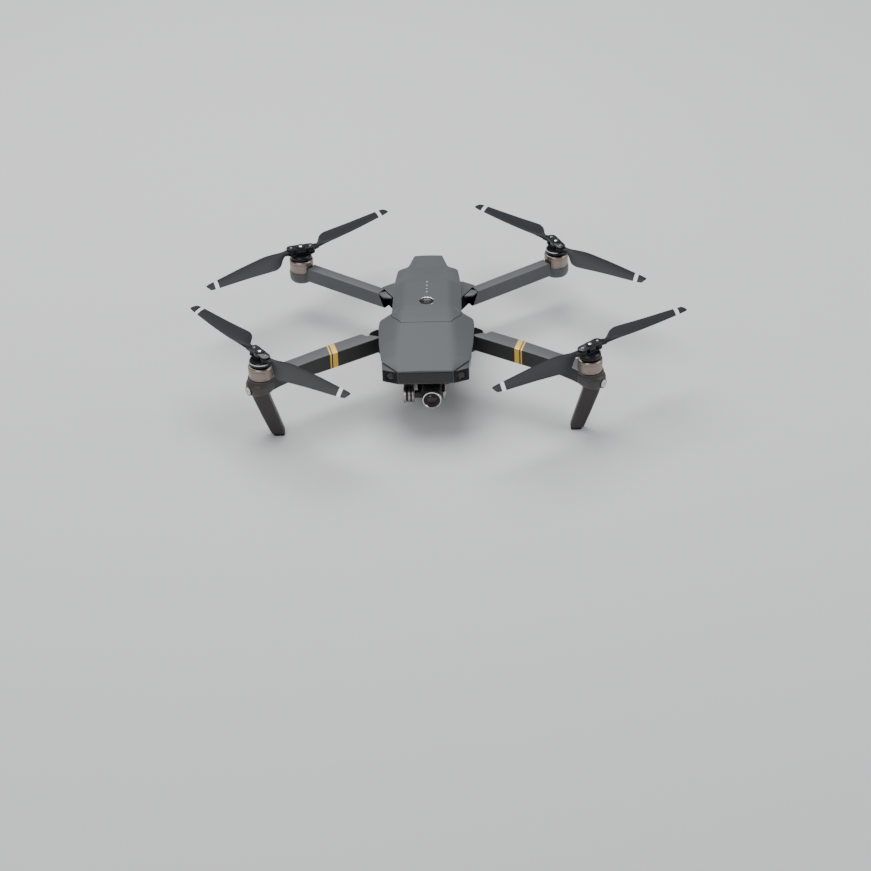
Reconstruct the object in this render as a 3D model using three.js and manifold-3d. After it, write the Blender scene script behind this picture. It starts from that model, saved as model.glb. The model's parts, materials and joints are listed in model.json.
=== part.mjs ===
// Folding camera drone: two shells, a lift-out battery, four folding arms with
// outrunner motors and folding propellers, and a three-axis camera gimbal.
// Millimetres, +Z up, nose towards -Y. The origin is the centre of the belly
// plate's flat underside; the ground the drone stands on is below it.

import * as THREE from 'three';
import { mergeVertices } from 'three/addons/utils/BufferGeometryUtils.js';
import Module from 'manifold-3d';

const wasm = await Module();
wasm.setup();

// ---------------------------------------------------------------- dimensions

const GROUND = -18; // height of the ground below the belly plate
const GAP = 0.35; // clearance between pieces that meet

// Half widths and heights of the body at stations along its length: y, half
// width at the edge, height of the edge, half width and height of the crown.
const BODY_STATIONS = [
  [-108.4, 23.9, 43.0, 22.8, 43.6],
  [-89.2, 38.5, 42.8, 24.5, 46.2],
  [-61.5, 41.3, 43.0, 24.0, 49.8],
  [-33.0, 42.3, 43.2, 23.0, 53.0],
  [-21.0, 41.5, 43.4, 22.5, 53.6],
  [-12.0, 31.0, 45.0, 22.0, 53.9],
  [36.0, 30.0, 44.6, 21.0, 51.5],
  [52.0, 29.0, 43.0, 20.0, 47.4],
  [71.5, 27.0, 41.8, 14.0, 42.9],
  [77.0, 18.0, 41.7, 12.0, 42.6],
  [87.0, 15.5, 41.5, 11.0, 42.0],
  [98.5, 12.8, 41.0, 10.0, 41.3],
];
const RIM_BOTTOM = 42.1; // underside of the top shell's and battery's rims
const SHELL_WALL = 1.8;
const BAND_HALF_WIDTH = 24.4; // body side that the folded arms lie against
const BAND_BOTTOM = 27.8;
const KEEL_HALF_WIDTH = 24;
const KEEL_WALL = 1.6;
const KEEL_BOTTOM = 1.9;
const BELLY_PLATE_THICKNESS = 1.6;
const NOSE_FLOOR = 29; // underside of the nose tray
const BATTERY_FRONT = -42; // front seam of the battery
const BATTERY_CORNER = { x: 21.7, sideX: 30.4, sideY: -24 };
const BATTERY_BOX = { halfWidth: 21.5, front: -36, back: 62, bottom: 14.5 };

const BUTTON = { radius: 6.2, y: -6.2, bottom: 48, top: 54.2, travel: 0.8 };
const LATCH = { inner: 23.6, outer: 25.4, front: 38.4, back: 53.6, bottom: 36.2, top: 41.9 };
const LATCH_TRAVEL = 1.2;
const BELLY_EYES = [24, 40]; // downward sensor's eyes, places along the belly

const FRONT_PIVOT = { x: 36, y: -38.7 };
const FRONT_MOTOR = { x: 141.9, y: -106.15 };
const FRONT_ARM = { bottom: 26.2, top: 41.6, mountRadius: 11.8 };
// Front arm's sections: distance from the pivot, front and back faces, underside.
const FRONT_ARM_SECTIONS = [
  [0, -4.2, 5.2, 26.2],
  [16, -4.4, 5.2, 26.2],
  [18.8, -4.4, 11.2, 26.2],
  [50, -4.6, 11.2, 26.2],
  [72, -4.6, 10.2, 26.2],
  [86, -5.4, 9.4, 28.6],
  [108, -6.6, 9.0, 28.4],
  [125.5, -9.2, 9.0, 27.5],
];
const EAR = { bottom: 24.1, top: FRONT_ARM.bottom - 0.4 }; // lower shell's ear under each front hinge
const FRONT_FOOT = { x: 129.9, y: -106.65 };
const FRONT_PROP_Z = 62; // plane that the front blades turn in
const FRONT_BELL_Z = 42.4;

const REAR_ROOT = new THREE.Vector3(41, 58.5, 21);
const REAR_MOTOR = new THREE.Vector3(116.6, 106.15, 25.2);
const REAR_FOLDED = new THREE.Vector3(0.02, -0.9965, -0.088); // folded arm's direction
const REAR_ARM = { above: 6.6, below: 6.8, mountRadius: 11.2, mountBottom: 15.4, mountTop: 26.2 };
const REAR_PROP_Z = 45.9;
const REAR_BELL_Z = 27.3;
const SEAM_OFFSET = -3; // arm root's face, measured along the rear hinge
const ROOT_DISC_RADIUS = 6.5;

const BELL = { radius: 10.8, height: 11.4, wall: 1.3 };
const STATOR_RADIUS = 8.7;
const PIN_SPACING = 8.9; // blade pins from the motor's axis
const BLADE_EYE = { radius: 4.1, thickness: 3.6 };

const GIMBAL = { x: -2, yawY: -72, rollZ: 10, tiltY: -91 };
const CAMERA = { barrelX: 4.5, barrelZ: 9.4, barrelRadius: 8.4, front: -101.5 };

const rearAxis = REAR_MOTOR.clone().sub(REAR_ROOT).normalize().add(REAR_FOLDED).normalize();

// ------------------------------------------------------------------- finishes

function finish(color, roughness, metalness) {
  return new THREE.MeshStandardMaterial({ color, roughness, metalness });
}

const shellGrey = finish(0x75797b, 0.55, 0.1);
const armGrey = finish(0x6b6f71, 0.55, 0.1);
const darkPlastic = finish(0x2b2927, 0.5, 0.0);
const glossBlack = finish(0x101010, 0.2, 0.0);
const bladeBlack = finish(0x3a3c3f, 0.5, 0.0);
const bellMetal = finish(0xb4aaa5, 0.3, 0.9);
const steel = finish(0xa0a0a0, 0.35, 0.9);
const copper = finish(0xa0552d, 0.4, 0.8);
const rubber = finish(0x202020, 0.85, 0.0);
const boardGreen = finish(0x1d4a33, 0.6, 0.0);
const cellBlue = finish(0x35507a, 0.5, 0.1);
const lensGlass = finish(0x0b0d14, 0.05, 0.0);
const lampLens = finish(0xd8d8d8, 0.3, 0.0);
const gimbalGrey = finish(0x8a8784, 0.4, 0.4);

// ------------------------------------------------------------- solid building

function solidOf(geometry) {
  const plain = geometry.clone();
  plain.deleteAttribute('normal');
  plain.deleteAttribute('uv');
  const welded = mergeVertices(plain, 1e-4);
  const triVerts = Uint32Array.from(welded.index.array);
  const vertProperties = Float32Array.from(welded.attributes.position.array);
  const solid = new wasm.Manifold(new wasm.Mesh({ numProp: 3, vertProperties, triVerts }));
  if (solid.volume() > 0) return solid;
  for (let i = 0; i < triVerts.length; i += 3) triVerts.subarray(i, i + 2).reverse();
  return new wasm.Manifold(new wasm.Mesh({ numProp: 3, vertProperties, triVerts }));
}

function geometryOf(solid) {
  const { vertProperties, triVerts } = solid.getMesh();
  const geometry = new THREE.BufferGeometry();
  geometry.setAttribute('position', new THREE.BufferAttribute(Float32Array.from(vertProperties), 3));
  geometry.setIndex(new THREE.BufferAttribute(Uint32Array.from(triVerts), 1));
  return geometry;
}

function join(...solids) {
  return solids.reduce((whole, part) => whole.add(part));
}

function cut(solid, ...tools) {
  return tools.reduce((left, tool) => left.subtract(tool), solid);
}

function mirrorX(solid) {
  const geometry = geometryOf(solid);
  geometry.scale(-1, 1, 1);
  return solidOf(geometry);
}

// Upright slab with the outline given as [x, y] points.
function slab(outline, bottom, top) {
  const shape = new THREE.Shape(outline.map(([x, y]) => new THREE.Vector2(x, y)));
  const geometry = new THREE.ExtrudeGeometry(shape, { depth: top - bottom, bevelEnabled: false });
  geometry.translate(0, 0, bottom);
  return solidOf(geometry);
}

function block(x0, x1, y0, y1, z0, z1) {
  const geometry = new THREE.BoxGeometry(x1 - x0, y1 - y0, z1 - z0);
  geometry.translate((x0 + x1) / 2, (y0 + y1) / 2, (z0 + z1) / 2);
  return solidOf(geometry);
}

// Round bar between two points.
function rod(radius, from, to, sides = 20) {
  const start = new THREE.Vector3(...from);
  const span = new THREE.Vector3(...to).sub(start);
  const geometry = new THREE.CylinderGeometry(radius, radius, span.length(), sides);
  const turn = new THREE.Quaternion();
  turn.setFromUnitVectors(new THREE.Vector3(0, 1, 0), span.clone().normalize());
  geometry.applyQuaternion(turn);
  geometry.translate(...start.addScaledVector(span, 0.5).toArray());
  return solidOf(geometry);
}

function upright(radius, x, y, bottom, top, sides = 20) {
  return rod(radius, [x, y, bottom], [x, y, top], sides);
}

// Closed skin over rings that all have the same number of corners.
function loft(rings) {
  const corners = rings[0].length;
  const positions = rings.flat().flatMap((point) => point);
  const index = [];
  for (let ring = 0; ring < rings.length - 1; ring += 1) {
    for (let i = 0; i < corners; i += 1) {
      const a = ring * corners + i;
      const b = ring * corners + ((i + 1) % corners);
      index.push(a, b, b + corners, a, b + corners, a + corners);
    }
  }
  const last = (rings.length - 1) * corners;
  for (let i = 1; i < corners - 1; i += 1) {
    index.push(0, i + 1, i, last, last + i, last + i + 1);
  }
  const geometry = new THREE.BufferGeometry();
  geometry.setAttribute('position', new THREE.Float32BufferAttribute(positions, 3));
  geometry.setIndex(index);
  return solidOf(geometry);
}

function lathe(profile, x, y, z, sides = 28) {
  const geometry = new THREE.LatheGeometry(profile.map(([r, h]) => new THREE.Vector2(r, h)), sides);
  geometry.rotateX(Math.PI / 2);
  geometry.translate(x, y, z);
  return solidOf(geometry);
}

const group = new THREE.Group();

function place(name, solid, material, position, turn = 0) {
  const mesh = new THREE.Mesh(geometryOf(solid), material);
  mesh.name = name;
  if (position) mesh.position.set(...position);
  mesh.rotation.z = turn;
  group.add(mesh);
}

// Builds a right-hand piece and its mirror image.
function placePair(name, rightSolid, material) {
  place(`${name}_right`, rightSolid, material);
  place(`${name}_left`, mirrorX(rightSolid), material);
}

// ----------------------------------------------------------------------- body

// The top of the whole body: its stations drawn inwards by an inset.
function crownedTop(bottom, inset = 0) {
  const rings = BODY_STATIONS.map(([y, edge, edgeZ, crown, crownZ]) => {
    const e = edge - inset;
    const c = crown - inset * 0.5;
    return [
      [-e, y, bottom], [e, y, bottom], [e, y, edgeZ - inset],
      [c, y, crownZ - inset], [-c, y, crownZ - inset], [-e, y, edgeZ - inset],
    ];
  });
  return loft(rings);
}

function bothSides(outline) {
  return [...outline, ...outline.map(([x, y]) => [-x, y]).reverse()];
}

// Plan of the battery, drawn in from the seam by a clearance.
function batteryPlan(clearance) {
  const { x, sideX, sideY } = BATTERY_CORNER;
  const side = sideX + 4 - clearance;
  return bothSides([
    [x - clearance, BATTERY_FRONT + clearance],
    [sideX - clearance, sideY + clearance],
    [sideX - clearance, -12 + clearance],
    [side, -11.6 + clearance],
    [side, 120],
  ]);
}

function bodyRoom(halfWidth, front, back, bottom, top) {
  return block(-halfWidth, halfWidth, front, back, bottom, top);
}

function upperShell() {
  const whole = crownedTop(RIM_BOTTOM);
  const hollow = crownedTop(RIM_BOTTOM - 4, SHELL_WALL);
  const frontOnly = bodyRoom(60, -106, -14, 0, 80);
  const shell = cut(whole, hollow.intersect(frontOnly), slab(batteryPlan(-GAP), 0, 90));
  return cut(shell, block(-60, 60, -11.9, 120, 0, 90));
}

function batteryCase() {
  const { halfWidth, front, back, bottom } = BATTERY_BOX;
  const lid = crownedTop(RIM_BOTTOM + 0.2).intersect(slab(batteryPlan(0), 0, 90));
  const box = block(-halfWidth, halfWidth, front, back, bottom, 46);
  const room = block(1.6 - halfWidth, halfWidth - 1.6, front + 1.6, back - 1.6, bottom - 1, 42);
  const buttonWell = upright(BUTTON.radius + GAP, 0, BUTTON.y,
    BUTTON.bottom - BUTTON.travel - GAP, 70, 24);
  return cut(join(lid, box), room, buttonWell);
}

function lowerShell() {
  const keel = slab(bothSides([
    [20, -62], [KEEL_HALF_WIDTH, -55], [KEEL_HALF_WIDTH, 62], [13.5, 84], [12.5, 94],
  ]), KEEL_BOTTOM, BAND_BOTTOM + 1);
  const band = slab(bothSides([
    [22, -66], [BAND_HALF_WIDTH, -60], [BAND_HALF_WIDTH, 60],
    [23.6, 71], [17.2, 76.5], [14.6, 87], [12, 98],
  ]), BAND_BOTTOM, RIM_BOTTOM - GAP - 0.9);
  const tray = slab(bothSides([
    [23.4, -105.6], [37.6, -88.2], [39.6, -61.5], [22, -58],
  ]), NOSE_FLOOR, RIM_BOTTOM - GAP);
  const { x, y } = FRONT_PIVOT;
  const ear = join(
    upright(8.4, x, y, EAR.bottom, EAR.top, 24),
    slab([[20, -52], [32, -46.6], [40, -32], [20, -26]], EAR.bottom, EAR.top),
  );
  const boss = cut(
    slab([[20, 76], [31.4, 73.6], [46.5, 63.5], [41, 45], [20, 45]], 13.6, 27.6),
    hingeRoom(SEAM_OFFSET - GAP, 60),
  );
  const skid = loft([
    [[13, 66, 4], [23, 66, 4], [23, 82, 4], [13, 82, 4]],
    [[14, 69, -15.6], [22, 69, -15.6], [22, 79, -15.6], [14, 79, -15.6]],
  ]);
  const right = join(ear, boss, skid);
  const bay = slab(bothSides([
    [18.5, -60], [KEEL_HALF_WIDTH - KEEL_WALL, -54], [KEEL_HALF_WIDTH - KEEL_WALL, 62], [12, 82], [10.5, 92],
  ]), KEEL_BOTTOM + 2, 60);
  const nose = slab(bothSides([
    [22.3, -103.6], [33.4, -89.8], [37.6, -87], [37.8, -64.5], [21, -62],
  ]), NOSE_FLOOR + 2, 60);
  const latchRooms = [1, -1].map((side) => {
    const { inner, front: y0, back: y1, bottom: z0 } = LATCH;
    const wall = inner - LATCH_TRAVEL - GAP;
    return block(Math.min(side * wall, side * 40), Math.max(side * wall, side * 40), y0 - 1, y1 + 1, z0 - 1, 60);
  });
  const eyePocket = block(-6.4, 6.4, 17.6, 46.4, 0, 3.1);
  const pinHoles = [1, -1].map((side) => upright(3.25, side * x, y, 20, 30));
  const hingeHole = hingeRod(3.05, -15.4, 10);
  const shell = join(keel, band, tray, right, mirrorX(right));
  return cut(shell, bay, nose, ...pinHoles, hingeHole, mirrorX(hingeHole), portSlot(GAP),
    ...latchRooms, eyePocket);
}

function latch() {
  const { inner, outer, front, back, bottom, top } = LATCH;
  return block(inner, outer, front, back, bottom, top);
}

function portSlot(clearance) {
  const c = clearance;
  return block(22.8, 40, 14 - c, 30 + c, 12 - c, 23 + c);
}

function bellyPlate() {
  const plate = slab(bothSides([[18, -60], [23, -53], [23, 60], [12.5, 64]]), 0, BELLY_PLATE_THICKNESS);
  const vents = [-30, -22, -14, -6].map((y) => block(-9, 9, y, y + 3.5, -1, 3));
  return cut(plate, ...vents, ...BELLY_EYES.map((y) => upright(4.4, 0, y, -1, 3)));
}

function bellySensor() {
  const base = block(-6, 6, 18, 46, 1.95, 2.8);
  return join(base, ...BELLY_EYES.map((y) => upright(3.9, 0, y, 0.4, 2.2)));
}

function noseFascia() {
  return loft([
    [[-23.2, -108.2, 31], [23.2, -108.2, 31], [23.4, -108.2, 41.7], [-23.4, -108.2, 41.7]],
    [[-23.2, -106, 31], [23.2, -106, 31], [23.4, -106, 41.7], [-23.4, -106, 41.7]],
  ]);
}

// Sensor pod that fills the slanting corner beside the nose.
function visionSensor() {
  const pod = slab([[24.2, -107.3], [37.5, -101.8], [38.2, -89.2], [24.2, -106.2]], 30, 41.7);
  const face = new THREE.Vector3(31, -104.49, 36); // middle of the window
  const out = new THREE.Vector3(5.5, -12.1, 0).normalize();
  const window = [face.clone().addScaledVector(out, -0.7), face.clone().addScaledVector(out, 4)];
  return cut(pod, rod(4.2, window[0].toArray(), window[1].toArray(), 20));
}

// ---------------------------------------------------------------- electronics

function mainBoard() {
  const plate = block(-18, 18, -34, 44, 7.2, 8.8);
  const chips = [
    block(-8, 8, -20, -4, 8.6, 11.4), block(-14, -4, 6, 18, 8.6, 10.6),
    block(4, 14, 8, 22, 8.6, 10.2), block(-10, 10, 28, 38, 8.6, 12.4),
  ];
  return join(plate, ...chips);
}

function positioningModule() {
  return join(block(-14, 14, -92, -68, 31.4, 33.4), block(-9, 9, -89, -71, 33, 37.4));
}

function fanHousing() {
  const box = block(-13, 13, -58, -38, 14, 21);
  return cut(box, upright(8.8, 0, -48, 15.4, 30), block(-7, 7, -60, -52, 15.4, 19.6));
}

function fanRotor() {
  const hub = upright(3.4, 0, 0, 15.9, 20.2);
  const vane = block(2.6, 7.8, -0.5, 0.5, 16.2, 19.8);
  const vanes = Array.from({ length: 7 }, (_, i) => {
    const geometry = geometryOf(vane);
    geometry.rotateZ((i * 2 * Math.PI) / 7);
    return solidOf(geometry);
  });
  return join(hub, ...vanes);
}

// ---------------------------------------------------------------------- arms

// Half-space box beyond a distance along the right rear hinge.
function hingeRoom(from, size) {
  const geometry = new THREE.BoxGeometry(size, size * 2, size * 2);
  geometry.translate(size / 2 + from, 0, 0);
  const turn = new THREE.Quaternion();
  turn.setFromUnitVectors(new THREE.Vector3(1, 0, 0), rearAxis);
  geometry.applyQuaternion(turn);
  geometry.translate(...REAR_ROOT.toArray());
  return solidOf(geometry);
}

function hingeRod(radius, from, to) {
  const start = REAR_ROOT.clone().addScaledVector(rearAxis, from).toArray();
  const end = REAR_ROOT.clone().addScaledVector(rearAxis, to).toArray();
  return rod(radius, start, end, 20);
}

function frontArm() {
  const { bottom, top, mountRadius } = FRONT_ARM;
  const pivot = new THREE.Vector2(FRONT_PIVOT.x, FRONT_PIVOT.y);
  const motor = new THREE.Vector2(FRONT_MOTOR.x, FRONT_MOTOR.y);
  const along = motor.clone().sub(pivot).normalize();
  const across = new THREE.Vector2(-along.y, along.x);
  const ring = ([distance, front, back, low]) => {
    const corner = (offset, z) => {
      const p = pivot.clone().addScaledVector(along, distance).addScaledVector(across, offset);
      return [p.x, p.y, z];
    };
    return [
      corner(front + 0.8, low), corner(back - 0.8, low), corner(back, low + 1.5),
      corner(back, top - 1.2), corner(back - 1, top), corner(front + 1, top),
      corner(front, top - 1.2), corner(front, low + 1.5),
    ];
  };
  const beam = loft(FRONT_ARM_SECTIONS.map(ring));
  const barrel = upright(8, pivot.x, pivot.y, bottom, top);
  const mount = lathe([
    [0, 27.2], [9.6, 27.2], [11, 28.6], [mountRadius, 31], [mountRadius, top - 1], [11, top - 0.2],
    [0, top - 0.2],
  ], motor.x, motor.y, 0, 24);
  return cut(join(beam, barrel, mount), upright(3.25, pivot.x, pivot.y, 0, 60), lampRoom());
}

// Room for the oval lamp lens on the outer front of the motor mount.
function lampRoom() {
  const { x, y } = FRONT_MOTOR;
  const out = new THREE.Vector2(0.80, -0.60);
  return rod(3.6, [x + out.x * 9.6, y + out.y * 9.6, 30.6], [x + out.x * 14, y + out.y * 14, 30.6], 20);
}

function lampLensPiece() {
  const { x, y } = FRONT_MOTOR;
  const out = new THREE.Vector2(0.80, -0.60);
  return rod(3.2, [x + out.x * 10, y + out.y * 10, 30.6], [x + out.x * 12.4, y + out.y * 12.4, 30.6], 20);
}

function landingLeg() {
  const { x, y } = FRONT_MOTOR;
  const foot = FRONT_FOOT;
  const ring = (cx, cy, z, halfX, halfY) => [
    [cx - halfX, cy - halfY + 1.5, z], [cx - halfX + 1.5, cy - halfY, z],
    [cx + halfX - 1.5, cy - halfY, z], [cx + halfX, cy - halfY + 1.5, z],
    [cx + halfX, cy + halfY - 1.5, z], [cx + halfX - 1.5, cy + halfY, z],
    [cx - halfX + 1.5, cy + halfY, z], [cx - halfX, cy + halfY - 1.5, z],
  ];
  return loft([
    ring(x - 2, y, 26.8, 7.8, 6.4), ring(x - 4.6, y, 18, 6.6, 5.4),
    ring(foot.x, foot.y, GROUND + 2.4, 5.8, 4.7),
  ]);
}

function footPad() {
  const { x, y } = FRONT_FOOT;
  return block(x - 5.4, x + 4.2, y - 4.2, y + 4.2, GROUND, GROUND + 2);
}

function rearArm() {
  const along = REAR_MOTOR.clone().sub(REAR_ROOT).setZ(0).normalize();
  const across = new THREE.Vector3(along.y, -along.x, 0); // towards the nose
  const { above, below } = REAR_ARM;
  const ring = (distance, centreZ, undercut = 0) => { // undercut clears the folded front arm
    const corner = (offset, rise) => {
      const p = REAR_ROOT.clone().addScaledVector(along, distance).addScaledVector(across, offset);
      return [p.x, p.y, centreZ + rise];
    };
    return [
      corner(5.6, undercut - below), corner(6.6, 3 - below), corner(5.2, above), corner(-5.4, above),
      corner(-5.6, above - 3), corner(-4.6, undercut - below),
    ];
  };
  const reach = Math.hypot(REAR_MOTOR.x - REAR_ROOT.x, REAR_MOTOR.y - REAR_ROOT.y);
  const beam = loft([
    ring(-8, REAR_ROOT.z, 3.4), ring(6, REAR_ROOT.z + 0.2, 1.4), ring(24, REAR_ROOT.z + 1.1),
    ring(reach, REAR_MOTOR.z),
  ]);
  const disc = hingeRod(ROOT_DISC_RADIUS, SEAM_OFFSET, 4.5);
  const { mountRadius: radius, mountBottom, mountTop } = REAR_ARM;
  const mount = lathe([
    [0, mountBottom], [8.6, mountBottom], [10.4, mountBottom + 1.6], [radius, mountBottom + 4],
    [radius, mountTop - 0.8], [radius - 0.8, mountTop], [0, mountTop],
  ], REAR_MOTOR.x, REAR_MOTOR.y, 0, 24);
  const clearBell = upright(BELL.radius + 1, REAR_MOTOR.x, REAR_MOTOR.y, mountTop, 60, 24);
  const arm = cut(beam.intersect(hingeRoom(SEAM_OFFSET, 140)), clearBell);
  return cut(join(arm, disc, mount), hingeRod(3.05, -20, 20));
}

// ------------------------------------------------------- motors and propellers

// Stator that sits on an arm's mount, with its top at the given height.
function stator() {
  return lathe([[2.4, 0], [STATOR_RADIUS, 0], [STATOR_RADIUS, 9], [2.4, 9], [2.4, 0]], 0, 0, 0, 16);
}

function bell() {
  const { radius, height, wall } = BELL;
  return lathe([
    [0, height], [radius - 1.2, height], [radius, height - 1], [radius, 0], [radius - wall, 0],
    [radius - wall, height - 1.6], [1.5, height - 1.6], [1.5, 1.2], [0, 1.2],
  ], 0, 0, 0, 24);
}

function roundedBar(halfLength, halfWidth, bottom, top) {
  const straight = halfLength - halfWidth;
  const shape = new THREE.Shape();
  shape.absarc(straight, 0, halfWidth, -Math.PI / 2, Math.PI / 2);
  shape.absarc(-straight, 0, halfWidth, Math.PI / 2, Math.PI * 1.5);
  const options = { depth: top - bottom, bevelEnabled: false, curveSegments: 5 };
  const geometry = new THREE.ExtrudeGeometry(shape, options);
  geometry.translate(0, 0, bottom);
  return solidOf(geometry);
}

// Propeller hub about the blades' plane: collar, two bars, and the blade pins.
function propHub(collarDepth) {
  const plateInner = BLADE_EYE.thickness / 2 + GAP;
  const plateOuter = plateInner + 1.25;
  const collar = lathe([
    [0, -plateOuter - collarDepth], [8.6, -plateOuter - collarDepth],
    [9.7, -plateOuter - collarDepth + 1], [9.7, -plateOuter - 1.2], [8.4, -plateOuter + 0.1],
    [0, -plateOuter + 0.1],
  ], 0, 0, 0, 20);
  const barLength = PIN_SPACING + 4.4;
  const lowerBar = roundedBar(barLength, 4.4, -plateOuter, -plateInner);
  const upperBar = roundedBar(barLength, 4.4, plateInner, plateOuter);
  const core = block(-3.6, 3.6, -4, 4, -plateInner - 0.1, plateInner + 0.1);
  const pins = [1, -1].map((side) => {
    return upright(1.2, side * PIN_SPACING, 0, -plateInner - 0.1, plateInner + 0.1, 12);
  });
  return join(collar, lowerBar, upperBar, core, ...pins);
}

// Blade along +X from its pin. Distance, leading edge, trailing edge, thickness
// and rise of the leading edge over the trailing one, at stations outwards.
const BLADE_STATIONS = [
  [7, 3.4, -3.2, 2.6, 0.4],
  [15, 4.4, -6.4, 2.0, 2.0],
  [24, 5.8, -14.4, 1.6, 3.4],
  [33, 6.2, -16.4, 1.4, 3.2],
  [50, 6.0, -13.2, 1.2, 2.4],
  [68, 5.2, -9.8, 1.1, 1.6],
  [86, 4.0, -6.6, 1.0, 1.0],
  [94, 3.0, -5.2, 0.9, 0.8],
  [97, 0.6, -3.4, 0.8, 0.5],
];

function blade(handed) {
  const rings = BLADE_STATIONS.map(([x, lead, trail, thickness, rise]) => {
    const t = thickness / 2;
    const middle = lead - (lead - trail) * 0.35;
    return [
      [x, handed * lead, rise / 2], [x, handed * middle, rise * 0.2 + t],
      [x, handed * trail, -rise / 2 + 0.2], [x, handed * trail, -rise / 2 - 0.2],
      [x, handed * middle, rise * 0.05 - t],
    ];
  });
  const half = BLADE_EYE.thickness / 2;
  const neck = block(0, 9, -3, 3, -1.4, 1.4);
  const eye = upright(BLADE_EYE.radius, 0, 0, -half, half, 16);
  return cut(join(loft(rings), neck, eye), upright(1.5, 0, 0, -5, 5, 12));
}

// Each motor: its place, which way it turns, and how its propeller rests. The
// hub's angle and the two blades' directions are degrees anticlockwise from +X.
const MOTORS = [
  { name: 'front_left', x: -141.9, y: -106.15, front: true, handed: 1, hub: 125, blades: [127.5, -40] },
  { name: 'front_right', x: 141.9, y: -106.15, front: true, handed: -1, hub: 43, blades: [35.5, -142.5] },
  { name: 'rear_left', x: -116.6, y: 106.15, front: false, handed: -1, hub: 13.5, blades: [45, -138.5] },
  { name: 'rear_right', x: 116.6, y: 106.15, front: false, handed: 1, hub: 116, blades: [135.5, -39.5] },
];

function placeMotor({ name, x, y, front, handed, hub, blades }) {
  const propZ = front ? FRONT_PROP_Z : REAR_PROP_Z;
  const bellZ = front ? FRONT_BELL_Z : REAR_BELL_Z;
  const statorZ = (front ? FRONT_ARM.top - 0.2 : REAR_ARM.mountTop) + GAP;
  const hubLow = BLADE_EYE.thickness / 2 + GAP + 1.25;
  const collarDepth = propZ - hubLow - (bellZ + BELL.height) - GAP;
  const hubTurn = THREE.MathUtils.degToRad(hub);
  place(`motor_stator_${name}`, stator(), copper, [x, y, statorZ]);
  place(`motor_bell_${name}`, bell(), bellMetal, [x, y, bellZ]);
  place(`prop_hub_${name}`, propHub(collarDepth), glossBlack, [x, y, propZ], hubTurn);
  blades.forEach((direction, i) => {
    const side = i === 0 ? PIN_SPACING : -PIN_SPACING;
    const pin = [x + side * Math.cos(hubTurn), y + side * Math.sin(hubTurn), propZ];
    const turn = THREE.MathUtils.degToRad(direction);
    place(`prop_blade_${name}_${i + 1}`, blade(handed), bladeBlack, pin, turn);
  });
}

// --------------------------------------------------------------------- gimbal

function gimbalPlate() {
  const plate = block(-24, 20, -102, -66, 26.6, 28.0);
  const opening = block(-16, 12, -97, -80, 20, 30);
  const dampers = [[-20, -98], [16, -98], [-20, -70], [16, -70]].map(([x, y]) => {
    return upright(2.6, x, y, 27.8, NOSE_FLOOR - 0.3, 14);
  });
  return join(cut(plate, opening), ...dampers);
}

function yawArm() {
  const { x, yawY, rollZ } = GIMBAL;
  const yawMotor = upright(6.8, x, yawY, 18.6, 26.2);
  const neck = block(x - 4, x + 4, yawY - 4, yawY + 4.5, 10, 19);
  const rollMotor = rod(6.4, [x, yawY - 4.2, rollZ], [x, yawY + 4.6, rollZ]);
  return join(yawMotor, neck, rollMotor);
}

function rollArm() {
  const { x, yawY, rollZ, tiltY } = GIMBAL;
  const barFront = yawY - 8;
  const face = rod(6.4, [x, barFront, rollZ], [x, yawY - 4.6, rollZ]);
  const bar = block(-20.4, 16.2, barFront, barFront + 3, 5.4, 14.6);
  const leftSide = block(-20.4, -13, tiltY, barFront + 1, 5, 15);
  const tiltMotor = rod(7.4, [-20.4, tiltY, rollZ], [-11, tiltY, rollZ]);
  const rightEar = block(13.4, 16.2, tiltY - 4, barFront + 1, 6, 14);
  return join(face, bar, leftSide, tiltMotor, rightEar);
}

function cameraBody() {
  const { barrelX, barrelZ, barrelRadius, front } = CAMERA;
  const body = block(-4.4, 13, -98, -84.6, 2, 18);
  const tiltShaft = rod(3.4, [-10.6, GIMBAL.tiltY, GIMBAL.rollZ], [-4, GIMBAL.tiltY, GIMBAL.rollZ]);
  const barrel = rod(barrelRadius, [barrelX, front, barrelZ], [barrelX, -97, barrelZ], 28);
  const recess = rod(barrelRadius - 1.3, [barrelX, front - 2, barrelZ], [barrelX, front + 2, barrelZ], 28);
  return cut(join(body, tiltShaft, barrel), recess);
}

function cameraLens() {
  const { barrelX, barrelZ, barrelRadius, front } = CAMERA;
  const radius = barrelRadius - 1.3 - GAP;
  return rod(radius, [barrelX, front + 0.3, barrelZ], [barrelX, front + 1.65, barrelZ], 28);
}

// ------------------------------------------------------------------- assembly

place('upper_shell', upperShell(), shellGrey);
place('lower_shell', lowerShell(), shellGrey);
place('belly_plate', bellyPlate(), darkPlastic);
place('belly_sensor', bellySensor(), glossBlack);
place('nose_fascia', noseFascia(), darkPlastic);
placePair('vision_sensor', visionSensor(), glossBlack);

place('main_board', mainBoard(), boardGreen);
place('positioning_module', positioningModule(), steel);
place('fan_housing', fanHousing(), darkPlastic);
place('fan_rotor', fanRotor(), darkPlastic, [0, -48, 0]);

const box = BATTERY_BOX;
const cellHalf = box.halfWidth - 2;
place('battery_case', batteryCase(), shellGrey);
place('battery_cells', block(-cellHalf, cellHalf, box.front + 2, box.back - 2, box.bottom, 41.6), cellBlue);
place('power_button', upright(BUTTON.radius, 0, BUTTON.y, BUTTON.bottom, BUTTON.top, 24), glossBlack);
placePair('battery_latch', latch(), darkPlastic);
place('port_cover', block(23.2, 24.2, 14, 30, 12, 23), shellGrey);

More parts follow.
